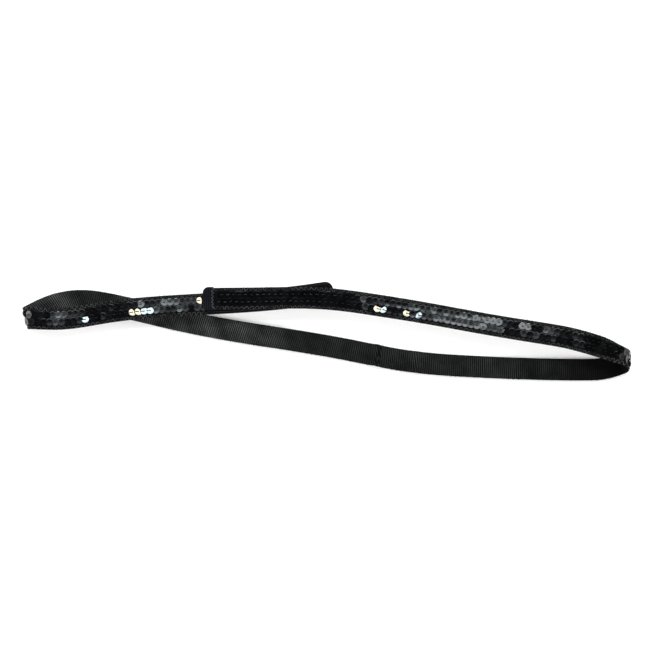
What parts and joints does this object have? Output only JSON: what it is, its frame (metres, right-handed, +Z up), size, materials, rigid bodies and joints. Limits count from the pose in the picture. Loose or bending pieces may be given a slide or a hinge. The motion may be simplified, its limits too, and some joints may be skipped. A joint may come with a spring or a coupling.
{
  "type": "sequin headband",
  "caption": "Narrow black sequin headband on a ribbed ribbon, lying flattened, with a hook-and-loop tab that peels open and two arms that swing out at the folds.",
  "frame": {"origin": "on the table, under the middle of the flattened band", "axes": "+X along the flattened band towards its right fold, +Y towards the tab's side, +Z up"},
  "size_m": [0.2772, 0.0454, 0.0096],
  "materials": {
    "grosgrain": "ribbed matte ribbon",
    "sequin_tape": "plain woven tape",
    "sequin": "polished film",
    "thread": "twisted thread",
    "hook_tape": "moulded hooks",
    "loop_tape": "looped pile"
  },
  "bodies": {
    "lower_run": {"edge_stitching_lower_run": "thread", "grosgrain_lower_run": "grosgrain", "row_threads_lower_run": "thread", "sequin_tape_lower_run": "sequin_tape", "sequins_lower_run_raised": "sequin", "sequins_lower_run_resting": "sequin"},
    "left_arm": {"edge_stitching_left_arm": "thread", "grosgrain_left_arm": "grosgrain", "loop_strip": "loop_tape", "loop_strip_stitching": "thread", "row_threads_left_arm": "thread", "sequin_tape_left_arm": "sequin_tape", "sequins_left_arm": "sequin"},
    "right_arm": {"edge_stitching_right_arm": "thread", "grosgrain_right_arm": "grosgrain", "row_threads_right_arm": "thread", "sequin_tape_right_arm": "sequin_tape", "sequins_right_arm": "sequin"},
    "tab": {"edge_stitching_tab": "thread", "grosgrain_tab": "grosgrain", "hem_stitching": "thread", "hook_strip": "hook_tape", "hook_strip_stitching": "thread", "row_threads_tab": "thread", "sequin_tape_tab": "sequin_tape", "sequins_tab": "sequin", "tab_end_hem": "grosgrain"}
  },
  "joints": [
    {"name": "right_fold_hinge", "type": "hinge", "parent": "lower_run", "child": "right_arm", "pos_m": [0.13853, -0.01367, 0.00482], "axis": [0.0523, 0.9986, 0], "range_deg": [0, 120]},
    {"name": "left_fold_hinge", "type": "hinge", "parent": "lower_run", "child": "left_arm", "pos_m": [-0.13793, 0.00514, 0.00372], "axis": [0.2588, -0.9659, 0], "range_deg": [0, 96]},
    {"name": "tab_bend", "type": "hinge", "parent": "right_arm", "child": "tab", "pos_m": [0.00265, 0.01432, 0.00975], "axis": [0.0785, 0.9969, 0], "range_deg": [0, 90]}
  ],
  "couplings": [
    {"joint": "left_fold_hinge", "follows": "right_fold_hinge", "ratio": 0.8}
  ]
}
